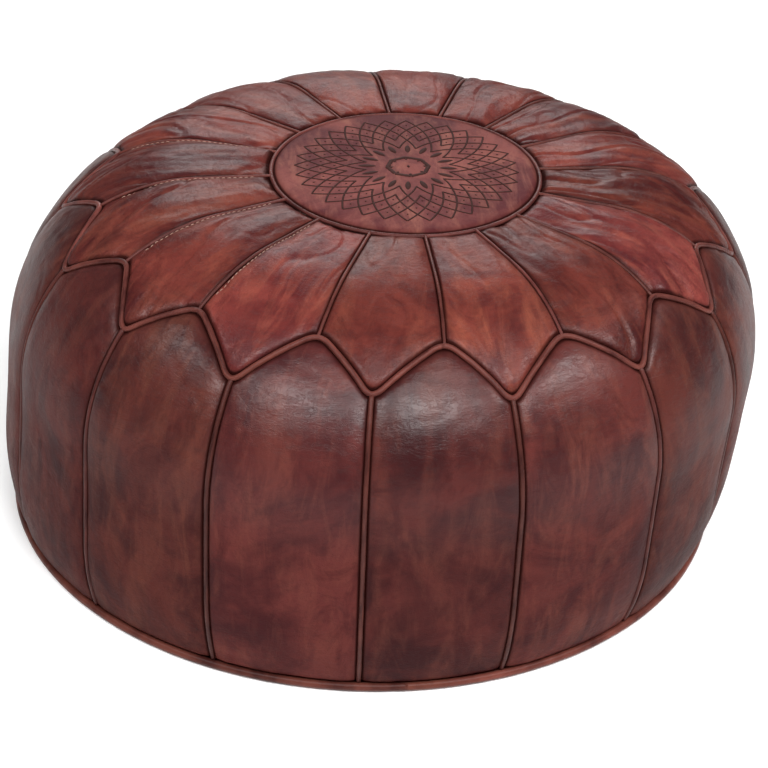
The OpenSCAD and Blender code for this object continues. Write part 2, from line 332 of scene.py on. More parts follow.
def ridge(x, y, seed, width=0.12):
    """1 along the winding lines where a noise crosses zero, falling to 0 beside them."""
    return np.clip(1 - np.abs(noise(x, y, seed)) / width, 0, 1) ** 1.5


def resample(grid, stations, axis):
    """A grid's points at the given fractions along one axis, on smooth curves through its own points."""
    last = grid.shape[axis] - 1
    at = np.asarray(stations) * last
    k = np.clip(np.floor(at).astype(int), 0, last - 1)
    t = (at - k).reshape([-1 if n == axis else 1 for n in range(grid.ndim)])
    before, here, after, beyond = (np.take(grid, np.clip(k + n, 0, last), axis) for n in (-1, 0, 1, 2))
    slope_in, slope_out = (after - before) / 2, (beyond - here) / 2
    return (
        (2 * t**3 - 3 * t**2 + 1) * here
        + (t**3 - 2 * t**2 + t) * slope_in
        + (3 * t**2 - 2 * t**3) * after
        + (t**3 - t**2) * slope_out
    )


def crowded(length, middle):
    """Fractions along a panel that lie close together near both of its seams."""
    near = np.array([0, 0.8, 1.6, 2.5, 3.6, 5.0]) * MM / length
    return np.concatenate([near, np.linspace(near[-1], 1 - near[-1], middle + 1)[1:-1], 1 - near[::-1]])


def seam_distances(s, a):
    """Distance of each point from the panel's four seams, in cord radii at the sides, top and bottom."""
    r = profile(s)[0]
    across = (a - 0.5 * (a[0] + a[-1])) * r
    return across, across - across[0], across[-1] - across, s - s[:, :1], s[:, -1:] - s


def petal_relief(across, s, depth, seed, strength):
    """Soft folds that run outwards over a petal, with a few sharper creases and puckers at its seams."""
    wander = 9 * MM * noise(across / 0.05, s / 0.06, seed + 7)
    folds = noise((across + wander) / 0.024, s / 0.085, seed)
    small = noise((across + wander) / 0.008, s / 0.036, seed + 1)
    crease = ridge((across + wander) / 0.034, s / 0.11, seed + 2, 0.10)
    cross = ridge(across / 0.055, (s + 2 * wander) / 0.035, seed + 3, 0.07)
    pucker = noise(across / 0.0075, s / 0.0075, seed + 4) * np.exp(-depth / (7 * MM))
    return strength * MM * (1.15 * folds + 0.28 * small - 0.75 * crease - 0.30 * cross) + 0.45 * MM * pucker


def side_relief(across, s, depth, below, seed):
    """Broad dents on a side panel, level creases under its pointed top, and puckers at its seams."""
    wander = 5 * MM * noise(across / 0.06, s / 0.05, seed + 7)
    dents = noise(across / 0.060, s / 0.075, seed)
    top = np.exp(-((below / 0.055) ** 2))
    patch = np.clip(0.5 + noise(across / 0.05, s / 0.04, seed + 5), 0, 1)
    bands = noise(across / 0.045, (s + wander) / 0.0065, seed + 1)
    crease = ridge(across / 0.080, (s + wander) / 0.020, seed + 2, 0.10)
    slant = ridge((across + s) / 0.07, (s - across) / 0.09, seed + 3, 0.04)
    pucker = noise(across / 0.008, s / 0.008, seed + 4) * np.exp(-depth / (6 * MM))
    fine = (0.30 * bands * patch - 0.40 * crease) * (0.25 + top)
    return MM * (0.9 * dents + fine - 0.25 * slant) + 0.35 * MM * pucker


# ---- mesh pieces ----


def piece(name, mesh, *nodes, material, slot=None, smooth=True):
    """An object on the pouf's body that stands for these CAD nodes, if any."""
    obj = bpy.data.objects.new(name, mesh)
    bpy.context.scene.collection.objects.link(obj)
    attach(obj, "pouf")
    if nodes:
        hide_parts(*nodes)
    obj.data.materials.append(material)
    if smooth:
        mesh.polygons.foreach_set("use_smooth", [True] * len(mesh.polygons))
    return obj


def attribute(mesh, name, kind, values):
    layer = mesh.attributes.new(name, kind, "POINT")
    field = {"FLOAT": "value", "FLOAT_VECTOR": "vector", "FLOAT_COLOR": "color"}[kind]
    layer.data.foreach_set(field, np.asarray(values, np.float32).ravel())


def leather_panel(name, shape, s, a, relief, cords, tint, seed, slot, material, *nodes):
    """One sewn panel of leather: its blown-up shape on a finer grid, with folds and grooves at the cords.

    `cords` are the radii of the cords at its sides, its top end and its bottom end.
    """
    width, length = 0.09, float((s[:, -1] - s[:, 0]).mean())
    u = crowded(width, 34)
    v = crowded(length, int(length / (3.0 * MM)))
    shape, s, a = (resample(resample(grid, u, 0), v, 1) for grid in (shape, s, a))
    across, left, right, top, bottom = seam_distances(s, a)
    side_r, top_r, bottom_r = cords
    beside, ends = np.minimum(left, right) / side_r, np.minimum(top / top_r, bottom / bottom_r)
    in_radii = np.minimum(beside, 0.8 * ends)
    at_hem = bottom_r == HEM_CORD_R
    depth = np.minimum.reduce([left, right, top, bottom + 9 * MM * at_hem]).clip(0)
    lift = relief(across, s, depth, top, seed) * np.clip(depth / (4 * MM), 0, 1)
    lift = lift - GROOVE * np.exp(-((in_radii / 1.15) ** 2)) - DIP * np.exp(-((depth / (9 * MM)) ** 2))
    r, z, nr, nz = profile(s)
    normal = np.stack([nr * np.sin(a), -nr * np.cos(a), nz], axis=-1)
    points = settle(shape + normal * lift[..., None])
    mesh = bpy.data.meshes.new(name)
    mesh.from_pydata(points.reshape(-1, 3).tolist(), [], grid_faces(len(u) - 1, len(v) - 1).tolist())
    attribute(mesh, "at", "FLOAT_VECTOR", np.stack([across, s, np.full(s.shape, seed * 3.7)], axis=-1))
    # seam and edge mark where the leather material paints shade: in the grooves beside the cords and towards
    # every seam
    attribute(mesh, "seam", "FLOAT", np.clip((2.2 - in_radii) / 0.6, 0, 1))
    attribute(mesh, "edge", "FLOAT", depth)
    attribute(mesh, "tint", "FLOAT_COLOR", np.tile([*tint, 1.0], (s.size, 1)))
    obj = piece(name, mesh, *nodes, slot=slot, material=material)
    return points


def ring_faces(sides, steps):
    """Faces between rings of `sides` points, for the first point of each pair of neighbouring rings."""
    spin = [(k, (k + 1) % sides) for k in range(sides)]
    return [(here + k, here + after, there + after, there + k) for here, there in steps for k, after in spin]


def tube_mesh(name, path, radius, closed, tint, sides=12):
    """A round tube along a list of points. `tint` is one colour for all of it or one for each point."""
    path = np.asarray(path, float)
    count = len(path)
    if closed:
        tangent = np.roll(path, -1, 0) - np.roll(path, 1, 0)
    else:
        tangent = np.gradient(path, axis=0)
    tangent /= np.linalg.norm(tangent, axis=1)[:, None]
    outward = path * [1, 1, 1.6] - [0, 0, 0.20]
    outward -= tangent * np.sum(outward * tangent, 1)[:, None]
    outward /= np.linalg.norm(outward, axis=1)[:, None]
    side = np.cross(tangent, outward)
    turn = np.arange(sides) * 2 * math.pi / sides
    radius = np.broadcast_to(radius, (count,))
    rings = path[:, None] + radius[:, None, None] * (
        np.cos(turn)[None, :, None] * outward[:, None] + np.sin(turn)[None, :, None] * side[:, None]
    )
    spans = count if closed else count - 1
    faces = ring_faces(sides, [(n * sides, (n + 1) % count * sides) for n in range(spans)])
    if not closed:
        faces += [tuple(range(sides - 1, -1, -1)), tuple((count - 1) * sides + k for k in range(sides))]
    mesh = bpy.data.meshes.new(name)
    mesh.from_pydata(rings.reshape(-1, 3).tolist(), [], faces)
    step = np.linalg.norm(np.diff(path, axis=0, append=path[-1:]), axis=1)
    run = np.cumsum(step) - step
    at = np.stack([np.repeat(run, sides), np.tile(turn, count) * WELT_R, np.zeros(count * sides)], -1)
    attribute(mesh, "at", "FLOAT_VECTOR", at)
    colours = np.ones((count, 4))
    colours[:, :3] = tint
    attribute(mesh, "tint", "FLOAT_COLOR", np.repeat(colours, sides, axis=0))
    return mesh


def join_meshes(name, meshes):
    """One mesh from several, their attributes kept."""
    parts = [bpy.data.objects.new(name, m) for m in meshes]
    for p in parts:
        bpy.context.scene.collection.objects.link(p)
    first = parts[0]
    with bpy.context.temp_override(active_object=first, selected_editable_objects=parts, object=first):
        bpy.ops.object.join()
    mesh = first.data
    bpy.data.objects.remove(first)
    mesh.name = name
    return mesh


def lumpy(count, amount, seed):
    """A radius factor that wanders a little along a hand-rolled welt."""
    local = np.random.default_rng(seed)
    t = np.linspace(0, 1, count)
    most = max(3, count // 6)
    waves = 0
    for _ in range(6):
        height, cycles, phase = local.uniform(0.3, 1), local.integers(2, most), local.random()
        waves = waves + height * np.sin(2 * math.pi * (t * cycles + phase))
    return 1 + amount * waves / 3


# ---- materials ----


class Nodes:
    """A short way to write a material's nodes."""

    def __init__(self, name):
        self.material = bpy.data.materials.new(name)
        self.material.use_nodes = True
        self.tree = self.material.node_tree
        self.shader = self.tree.nodes["Principled BSDF"]

    def add(self, kind, _settings=None, **sockets):
        node = self.tree.nodes.new(kind)
        for key, value in (_settings or {}).items():
            setattr(node, key, value)
        for key, value in sockets.items():
            self.feed(node, key, value)
        return node

    def feed(self, node, key, value):
        numbered = key[0] == "_"
        socket = node.inputs[int(key[1:]) if numbered else key.replace("_", " ")]
        if isinstance(value, bpy.types.NodeSocket):
            self.tree.links.new(value, socket)
        elif isinstance(value, bpy.types.Node):
            self.tree.links.new(value.outputs[0], socket)
        else:
            socket.default_value = value

    def attribute(self, name, output):
        return self.add("ShaderNodeAttribute", {"attribute_name": name}).outputs[output]

    def stretch(self, vector, scale):
        return self.add("ShaderNodeMapping", Vector=vector, Scale=scale).outputs[0]

    def noise(self, vector, scale, detail=4.0, roughness=0.55, distortion=0.0):
        grain = self.add("ShaderNodeTexNoise", Vector=vector, Scale=scale, Detail=detail)
        self.feed(grain, "Roughness", roughness)
        self.feed(grain, "Distortion", distortion)
        return grain.outputs["Fac"]

    def swirl(self, vector, scale, amount):
        """A vector that wanders from place to place by about `amount`."""
        turn = self.add("ShaderNodeTexNoise", Vector=vector, Scale=scale, Detail=2.0).outputs["Color"]
        middled = self.add("ShaderNodeVectorMath", {"operation": "SUBTRACT"}, _0=turn, _1=(0.5, 0.5, 0.5))
        return self.add("ShaderNodeVectorMath", {"operation": "SCALE"}, _0=middled, Scale=amount).outputs[0]

    def between(self, value, low, high, to_low=0.0, to_high=1.0):
        return self.add(
            "ShaderNodeMapRange", Value=value, From_Min=low, From_Max=high, To_Min=to_low, To_Max=to_high
        ).outputs[0]

    def math(self, operation, a, b=0.0):
        return self.add("ShaderNodeMath", {"operation": operation}, _0=a, _1=b).outputs[0]

    def mix(self, factor, a, b, blend="MIX"):
        node = self.add("ShaderNodeMix", {"data_type": "RGBA", "blend_type": blend})
        for index, value in ((0, factor), (6, a), (7, b)):
            self.feed(node, f"_{index}", value)
        return node.outputs[2]

    def bump(self, height, distance, strength=1.0, normal=None):
        node = self.add("ShaderNodeBump", Height=height, Distance=distance, Strength=strength)
        if normal is not None:
            self.feed(node, "Normal", normal)
        return node.outputs[0]

    def finish(self, **sockets):
        for key, value in sockets.items():
            self.feed(self.shader, key, value)
        return self.material


def leather(name, gloss, depth, polish, crackle):
    """Waxed, hand-dyed leather: dye that pools and streaks, painted shade towards the seams and in the
    grooves beside the cords, fine crackle, and a shine that wears off towards the foot.

    `crackle` is the number of fine creases to the metre across and along the panel.
    """
    m = Nodes(name)
    at, tint, edge = m.attribute("at", "Vector"), m.attribute("tint", "Color"), m.attribute("edge", "Fac")
    clouds = m.noise(at, 13.0, 5.0, 0.62, 0.6)
    pools = m.noise(m.stretch(at, (1.0, 0.6, 1.0)), 34.0, 6.0, 0.68, 1.0)
    streaks = m.noise(m.stretch(at, (56.0, 14.0, 1.0)), 1.0, 6.0, 0.66, 0.8)
    dark = m.mix(1.0, tint, (0.42, 0.31, 0.40, 1), "MULTIPLY")
    warm = m.mix(1.0, tint, (1.60, 2.05, 1.65, 1), "MULTIPLY")
    colour = m.mix(m.between(clouds, 0.42, 0.60), tint, dark)
    colour = m.mix(m.between(streaks, 0.46, 0.74, 0.0, 0.65), colour, warm)
    colour = m.mix(m.between(pools, 0.48, 0.70, 0.0, 0.80), colour, dark)
    # Painted shade: the leather darkens over the last 8 mm towards each seam, where it dips in
    colour = m.mix(m.between(edge, 0.0, 8 * MM, 0.40, 0.0), colour, (0.030, 0.006, 0.005, 1))
    seam = m.attribute("seam", "Fac")
    # Painted shade: almost black in the groove beside each cord
    colour = m.mix(m.between(seam, 0.0, 1.0, 0.0, 0.92), colour, (0.014, 0.003, 0.0025, 1))
    warped = m.add("ShaderNodeVectorMath", {"operation": "ADD"}, _0=at, _1=m.swirl(at, 90.0, 9 * MM))
    cells = m.add("ShaderNodeTexVoronoi", {"feature": "DISTANCE_TO_EDGE"}, Vector=warped, Scale=150.0)
    creases = m.noise(m.stretch(at, (75.0, 150.0, 1.0)), 1.0, 5.0, 0.62, 1.8)
    sharp = m.math("ABSOLUTE", m.math("SUBTRACT", creases, 0.5))
    fine = m.noise(m.stretch(at, (*crackle, 1.0)), 1.0, 3.0, 0.6, 1.2)
    lumps = m.noise(at, 75.0, 4.0, 0.6, 1.0)
    relief = m.bump(lumps, 1.0 * MM * depth)
    relief = m.bump(m.between(sharp, 0.0, 0.05), 0.22 * MM * depth, 0.8, relief)
    relief = m.bump(fine, 0.5 * MM * depth, 0.9, relief)
    relief = m.bump(m.between(cells, 0.0, 0.12), 0.10 * MM * depth, 0.8, relief)
    relief = m.bump(m.noise(at, 900.0, 3.0, 0.6), 0.15 * MM, 0.5, relief)
    shine = m.bump(lumps, 0.30 * MM * depth)
    shine = m.bump(m.between(sharp, 0.0, 0.05), 0.05 * MM * depth, 0.8, shine)
    shine = m.bump(fine, 0.13 * MM * depth, 0.9, shine)
    rough = m.between(m.noise(at, 40.0, 5.0, 0.6), 0.35, 0.7, gloss, gloss + 0.16)
    down = m.add("ShaderNodeSeparateXYZ", Vector=at).outputs["Y"]
    handled = m.between(down, 0.30, 0.40, polish, 0.2 * polish)
    worn = m.math("MULTIPLY", handled, m.between(clouds, 0.35, 0.6, 0.7, 1.2))
    wax = m.math("MULTIPLY", m.between(seam, 0.0, 1.0, 1.0, 0.0), worn)
    m.shader.inputs["Coat Roughness"].default_value = 0.29
    m.shader.inputs["IOR"].default_value = 1.05
    return m.finish(Base_Color=colour, Roughness=rough, Normal=relief, Coat_Weight=wax, Coat_Normal=shine)


def welt_leather(name):
    """The strip rolled round a piping cord: creased across, with dye that pools."""
    m = Nodes(name)
    at, tint = m.attribute("at", "Vector"), m.attribute("tint", "Color")
    dark = m.mix(1.0, tint, (0.35, 0.30, 0.34, 1), "MULTIPLY")
    shade = m.mix(m.between(m.noise(at, 34.0, 4.0), 0.38, 0.66), tint, dark)
    wrinkles = m.noise(m.stretch(at, (420.0, 120.0, 1.0)), 1.0, 4.0, 0.6)
    m.shader.inputs["IOR"].default_value = 1.22
    return m.finish(Base_Color=shade, Roughness=0.36, Normal=m.bump(wrinkles, 0.45 * MM))


def pale_thread():
    m = Nodes("seam_thread")
    place = m.add("ShaderNodeTexCoord").outputs["Object"]
    shade = m.mix(m.noise(place, 90.0, 3.0), (0.24, 0.13, 0.10, 1), (0.40, 0.26, 0.20, 1))
    return m.finish(Base_Color=shade, Roughness=0.7, Normal=m.bump(m.noise(place, 1600.0), 0.1 * MM))


def thread_material():
    m = Nodes("embroidery_thread")
    place = m.add("ShaderNodeTexCoord").outputs["Object"]
    strands = m.noise(place, 1400.0, 3.0)
    shade = m.mix(m.noise(place, 60.0, 3.0), (0.020, 0.007, 0.006, 1), (0.044, 0.016, 0.013, 1))
    m.shader.inputs["IOR"].default_value = 1.12
    return m.finish(Base_Color=shade, Roughness=0.6, Normal=m.bump(strands, 0.2 * MM))


def metal(name):
    m = Nodes(name)
    place = m.add("ShaderNodeTexCoord").outputs["Object"]
    scratches = m.noise(m.stretch(place, (200.0, 1500.0, 1500.0)), 1.0, 3.0)
    patches = m.between(m.noise(place, 140.0, 4.0), 0.4, 0.7)
    tarnish = m.mix(patches, (0.55, 0.36, 0.13, 1), (0.20, 0.12, 0.05, 1))
    rough = m.between(scratches, 0.3, 0.7, 0.25, 0.5)
    m.shader.inputs["Metallic"].default_value = 1.0
    return m.finish(Base_Color=tarnish, Roughness=rough, Normal=m.bump(scratches, 0.05 * MM))


def woven(name, colour, threads):
    """Plain weave with that many threads to the metre."""
    m = Nodes(name)
    place = m.add("ShaderNodeTexCoord").outputs["Object"]
    waves = []
    for axis in ("X", "Y"):
        wave = m.add("ShaderNodeTexWave", {"wave_type": "BANDS", "bands_direction": axis}, Vector=place)
        for key, value in (("Scale", threads / 6.28), ("Distortion", 0.6), ("Detail", 2.0)):
            m.feed(wave, key, value)
        waves.append(wave.outputs["Fac"])
    weave = m.math("MAXIMUM", *waves)
    shade = m.mix(weave, tuple(c * 0.6 for c in colour[:3]) + (1,), colour)
    m.shader.inputs["Sheen Weight"].default_value = 0.2
    return m.finish(Base_Color=shade, Roughness=0.85, Normal=m.bump(weave, 0.2 * MM))


def plain_floor():
    m = Nodes("pale_floor")
    place = m.add("ShaderNodeTexCoord").outputs["Object"]
    shade = m.mix(m.noise(place, 3.0, 2.0), (0.93, 0.93, 0.93, 1), (0.96, 0.96, 0.96, 1))
    return m.finish(Base_Color=shade, Roughness=0.7, Emission_Color=(1, 1, 1, 1), Emission_Strength=0.12)


# ---- camera, floor and light ----


def camera():
    """At the photo's height and distance, aimed past the middle of the body and rolled a little."""
    elevation, roll, distance = math.radians(33.9), math.radians(2.36), 1.98
    flat = math.cos(elevation)
    toward = Vector((-math.sin(FACING) * flat, -math.cos(FACING) * flat, math.sin(elevation)))
    level = Vector((math.cos(FACING), -math.sin(FACING), 0))
    upward = toward.cross(level)
    spot = toward * distance
    aside, above = 0.0153, 0.0773
    aim = level * aside + upward * above
    back = (spot - aim).normalized()
    right = (level * math.cos(roll) + upward * math.sin(roll)).normalized()
    right = (right - back * right.dot(back)).normalized()
    data = bpy.data.cameras.new("camera")
    data.lens, data.sensor_width = 110.2, 36.0
    eye = bpy.data.objects.new("camera", data)
    turned = Matrix((right, back.cross(right), back)).transposed()
    eye.matrix_world = Matrix.Translation(spot) @ turned.to_4x4()
    bpy.context.scene.collection.objects.link(eye)
    bpy.context.scene.camera = eye


def area_light(name, azimuth, elevation, distance, size, power):
    """A white light at that distance from the middle of the body, and aimed at it."""
    aim = Vector((0, 0, 0.15))
    data = bpy.data.lights.new(name, "AREA")
    data.shape, data.size, data.size_y = "RECTANGLE", size[0], size[1]
    data.energy = power
    a, e = math.radians(azimuth), math.radians(elevation)
    spot = Vector((math.sin(a) * math.cos(e), -math.cos(a) * math.cos(e), math.sin(e))) * distance
    light = bpy.data.objects.new(name, data)
    light.location = spot + aim
    light.rotation_euler = (aim - light.location).to_track_quat("-Z", "Y").to_euler()
    bpy.context.scene.collection.objects.link(light)


def studio():
    mesh = bpy.data.meshes.new("floor")
    mesh.from_pydata([(-6, -6, 0), (6, -6, 0), (6, 6, 0), (-6, 6, 0)], [], [(0, 1, 2, 3)])
    floor = bpy.data.objects.new("floor", mesh)
    mesh.materials.append(plain_floor())
    bpy.context.scene.collection.objects.link(floor)
    world = bpy.data.worlds.new("studio")
    world.use_nodes = True
    world.node_tree.nodes["Background"].inputs["Color"].default_value = (1, 1, 1, 1)
    world.node_tree.nodes["Background"].inputs["Strength"].default_value = 0.16
    bpy.context.scene.world = world
    bpy.context.scene.view_settings.view_transform = "Standard"
    area_light("window", 8, 66, 2.0, (0.9, 0.5), 10)
    area_light("back", 175, 27, 2.8, (1.5, 1.2), 28)
    for azimuth, power in ((-82, 8), (-39, 20), (8, 25), (54, 22), (98, 3)):
        area_light("strip", azimuth, 44, 2.1, (0.8, 0.46), power)


# ---- the pieces ----

PETAL_GRID = (24, 34)
SIDE_GRID = (28, 54)
TOP_TINT = np.array([0.127, 0.0262, 0.0206])
SIDE_TINT = np.array([0.069, 0.0150, 0.0124])
WELT_TINT = np.array([0.135, 0.036, 0.030])
ORANGE = np.array([0.16, 0.055, 0.018])


def panel_tint(base, seed):
    local = np.random.default_rng(seed)
    depth, green, blue = local.uniform(0.72, 1.32), local.uniform(0.96, 1.06), local.uniform(0.92, 1.06)
    return base * depth * np.array([1, green, blue])


def sewn_skin():
    """The petals and the side panels, blown up together and split into their own pieces."""
    petals = [petal_grid(i, *PETAL_GRID) for i in range(PANELS)]
    sides = [side_grid(j, *SIDE_GRID) for j in range(PANELS)]
    cloth = [cloth_panel(s, a, 0.06, 0.015) for s, a in petals]
    cloth += [cloth_panel(s, a, 0.03, 0.02) for s, a in sides]
    shapes = inflate(cloth, 22, 3.0, 40.0)
    top = leather("top_leather", 0.34, 1.0, 0.27, (260.0, 160.0))
    side = leather("side_leather", 0.36, 0.8, 0.46, (110.0, 420.0))
    stitched = []
    for i, (s, a) in enumerate(petals):
        loose = 0.8 + 1.3 * abs(math.sin((i + 0.5) * PITCH))
        relief = lambda across, s, depth, below, seed: petal_relief(across, s, depth, seed, loose)
        cords = (RADIAL_CORD_R, ZIGZAG_CORD_R, ZIGZAG_CORD_R)
        tint = panel_tint(TOP_TINT, 6121 + i)
        name = f"top_petal_{i + 1:02d}"
        points = leather_panel(
            f"petal_{i + 1:02d}", shapes[i], s, a, relief, cords, tint, i, "top_leather", top, name
        )
        if 11 <= i <= 14:
            stitched.append(points[4, 7:-9])
    for j, (s, a) in enumerate(sides):
        cords = (SIDE_CORD_R, ZIGZAG_CORD_R, HEM_CORD_R)
        tint, shape = panel_tint(SIDE_TINT, 22430 + j), shapes[PANELS + j]
        name = f"side_panel_{j + 1:02d}"
        leather_panel(
            f"side_{j + 1:02d}", shape, s, a, side_relief, cords, tint, 20 + j, "side_leather", side, name
        )
    piece("seam_stitches", stitches(stitched), material=pale_thread())


def seam_paths():
    """The lines that the cords follow on the upright body: round the middle, zigzag, outwards and down."""
    around = np.linspace(0, 2 * math.pi, 241)[:-1]
    ring = on_body(np.full(len(around), RING_R), around, -CORD_DROP)
    crown = [zigzag(c) for c in np.arange(0, 2 * PANELS, 1 / 20)]
    zig = on_body(along([r for r, _ in crown]), np.array([a for _, a in crown]), -CORD_DROP)
    radial, upright = [], []
    for k in range(PANELS):
        r, a = zigzag(2 * k)
        s = np.linspace(RING_R + 0.3 * ZIGZAG_CORD_R, along(r) - 0.3 * ZIGZAG_CORD_R, 60)
        radial.append(on_body(s, np.full(len(s), a), -CORD_DROP * 0.9))
        r, a = zigzag(2 * k + 1)
        v = np.linspace(0, 1, 100)
        s = along(r) + 0.3 * ZIGZAG_CORD_R + (HEM_S - along(r) - 0.3 * ZIGZAG_CORD_R) * v
        upright.append(on_body(s, a + side_bow(k, v), -CORD_DROP))
    return ring, zig, radial, upright


def welt_tints(count, pieces, seed, orange=0.0, shade=0.75):
    """A colour for each point of a welt that is pieced together from strips of slightly varied leather."""
    local = np.random.default_rng(seed)
    strips = shade * WELT_TINT * local.uniform(0.75, 1.25, (pieces, 1))
    strips = strips + orange * local.random((pieces, 1)) * ORANGE
    joints = np.sort(local.uniform(0, count, pieces - 1)) if pieces > 1 else []
    return strips[np.searchsorted(joints, np.arange(count))]


def welts():
    ring, zig, radial, upright = seam_paths()
    skin = welt_leather("welt_leather")
    radius, tints = RING_CORD_R * lumpy(len(ring), 0.06, 1), welt_tints(len(ring), 3, 1)
    mesh = tube_mesh("medallion_piping", settle(ring), radius, True, tints)
    piece("medallion_piping", mesh, "medallion_welt", slot="welt_leather", material=skin)
    radius, tints = ZIGZAG_CORD_R * lumpy(len(zig), 0.06, 2), welt_tints(len(zig), 9, 2, 0.12, 0.9)
    mesh = tube_mesh("zigzag_piping", settle(zig), radius, True, tints)
    piece("zigzag_piping", mesh, "zigzag_welt", slot="welt_leather", material=skin)
    for name, node, paths, radius, shade in (
        ("radial_piping", "radial_welts", radial, RADIAL_CORD_R, 0.7),
        ("side_piping", "side_welts", upright, SIDE_CORD_R, 0.5),
    ):
        tubes = []
        for k, path in enumerate(paths):
            tint, lumps = welt_tints(1, 1, 30 + k, 0.1, shade), lumpy(len(path), 0.06, 10 + k)
            tubes.append(tube_mesh(name, settle(path), radius * lumps, False, tint))
        piece(name, join_meshes(name, tubes), node, slot="welt_leather", material=skin)
    around = np.linspace(0, 2 * math.pi, 721)[:-1]
    level = np.full(len(around), BASE_WELT_Z)
    path = np.stack([BASE_WELT_X * np.sin(around), -BASE_WELT_X * np.cos(around), level], axis=-1)
    radius = BASE_WELT_R * lumpy(len(around), 0.03, 5).clip(0.92, 1.04)
    mesh = tube_mesh("base_piping", path, radius, True, welt_tints(len(around), 11, 8, 1.0))
    piece("base_piping", mesh, "base_welt", slot="welt_leather", material=skin)


def stitches(lines, up=1):
    """Short pale stitches of thread, end to end along each line of points, lying on the leather."""
    spacing, length, radius = 4.4 * MM, 3.0 * MM, 0.28 * MM
    rods = []
    for line in lines:
        run = np.concatenate([[0], np.cumsum(np.linalg.norm(np.diff(line, axis=0), axis=1))])
        for start in np.arange(spacing, run[-1] - spacing, spacing):
            t = start + np.linspace(0, length, 5)
            path = np.stack([np.interp(t, run, line[:, n]) for n in range(3)], axis=-1)
            path[:, 2] += up * 0.30 * MM * np.array([-1.2, 0.9, 1.2, 0.9, -1.2])
            rods.append(tube_mesh("stitch", path, radius, False, (1, 1, 1), 6))
    return join_meshes("seam_stitches", rods)


def disc_faces(spokes, rings, first):
    """Faces between rings of points on the same spokes, where `first` is the first ring's first point."""
    n, k = np.arange(rings - 1)[:, None] * spokes + first, np.arange(spokes)[None, :]
    here, after = n + k, n + (k + 1) % spokes
    return np.stack([here, here + spokes, after + spokes, after], axis=-1).reshape(-1, 4).tolist()


def medallion_height(x, y):
    """How far the round middle stands proud of the nominal top."""
    r = np.hypot(x, y) / RING_R
    dome = 1 - np.clip(r, 0, 1) ** 6
    waves = 0.5 * np.sin(38 * x + 1.3) * np.sin(31 * y + 0.4) + 0.4 * np.sin(17 * x - 23 * y)
    groove = GROOVE * np.exp(-(((1 - r) * RING_R / (2.6 * MM)) ** 2))
    return 2.0 * MM * dome - EDGE_DROP + 0.8 * MM * waves * dome - groove


def medallion():
    spokes = 180
    # From near the middle out to the piping, with the rings closest together at the piping
    r = RING_R * (1 - crowded(2 * RING_R, 96)[50::-1] * 2).clip(0)[1:]
    rings = len(r)
    a = np.arange(spokes) * 2 * math.pi / spokes
    x, y = r[:, None] * np.sin(a), -r[:, None] * np.cos(a)
    points = np.stack([x, y, TOP_Z + medallion_height(x, y)], axis=-1).reshape(-1, 3)
    points = np.vstack([[[0, 0, TOP_Z + medallion_height(0.0, 0.0)]], points])
    faces = [(0, 1 + k, 1 + (k + 1) % spokes) for k in range(spokes)]
    faces += disc_faces(spokes, rings, 1)
    mesh = bpy.data.meshes.new("medallion")
    mesh.from_pydata(settle(points).tolist(), [], faces)
    attribute(mesh, "at", "FLOAT_VECTOR", points * [1, 1, 0] + [0, 0, 43])
    # edge and seam mark where the leather material paints shade: towards the piping ring and in the groove
    # beside it
    from_ring = (RING_R - np.hypot(points[:, 0], points[:, 1])).clip(0)
    attribute(mesh, "edge", "FLOAT", from_ring)
    attribute(mesh, "seam", "FLOAT", np.clip((2.3 - from_ring / RING_CORD_R) / 0.6, 0, 1))
    attribute(mesh, "tint", "FLOAT_COLOR", np.tile([0.160, 0.048, 0.042, 1], (len(points), 1)))
    skin = leather("medallion_leather", 0.55, 0.35, 0.05, (300.0, 300.0))
    obj = piece("medallion", mesh, "top_medallion", slot="medallion_leather", material=skin)
    smooth = obj.modifiers.new("smooth", "SUBSURF")
    smooth.levels = smooth.render_levels = 1


def inner_body(name, node, out, slot, material):
    """A closed soft form under the skin, which leans with it."""
    floor_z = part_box(node)[0][2]
    s = np.linspace(0.004, HEM_S, 60)
    r, z, nr, nz = profile(s)
    above_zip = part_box("zip_teeth_back")[1][2] + 3 * MM
    foot_r = FOOT_R - 4 * MM
    r, z = np.append(r + nr * out, foot_r), np.append(np.maximum(z + nz * out, floor_z), above_zip)
    spokes = 96
    a = np.arange(spokes) * 2 * math.pi / spokes
    r, z = r[:, None], z[:, None]
    points = np.stack([r * np.sin(a), -r * np.cos(a), z + 0 * a], axis=-1).reshape(-1, 3)
    faces = [tuple(range(spokes - 1, -1, -1)), tuple((len(r) - 1) * spokes + k for k in range(spokes))]
    faces += disc_faces(spokes, len(r), 0)
    mesh = bpy.data.meshes.new(name)
    mesh.from_pydata(settle(points).tolist(), [], faces)
    obj = piece(name, mesh, node, slot=slot, material=material)


def inside():
    """The cotton liner and the stuffing in it."""
    cotton = woven("liner_cotton", (0.62, 0.56, 0.45, 1), 1200)
    wadding = woven("stuffing", (0.80, 0.76, 0.66, 1), 300)
    inner_body("liner", "cotton_liner", -6.4 * MM, "liner_cotton", cotton)
    inner_body("stuffing", "filling", -8.0 * MM, "stuffing", wadding)


# ---- embroidery ----

PATTERN_R = 0.84 * RING_R
SCALLOPS = 32
STAR_PITCH = math.pi / 8
THREAD_W = 1.8 * MM


def on_medallion(x, y, out):
    return settle(np.stack([x, y, TOP_Z + medallion_height(x, y) + out], axis=-1))


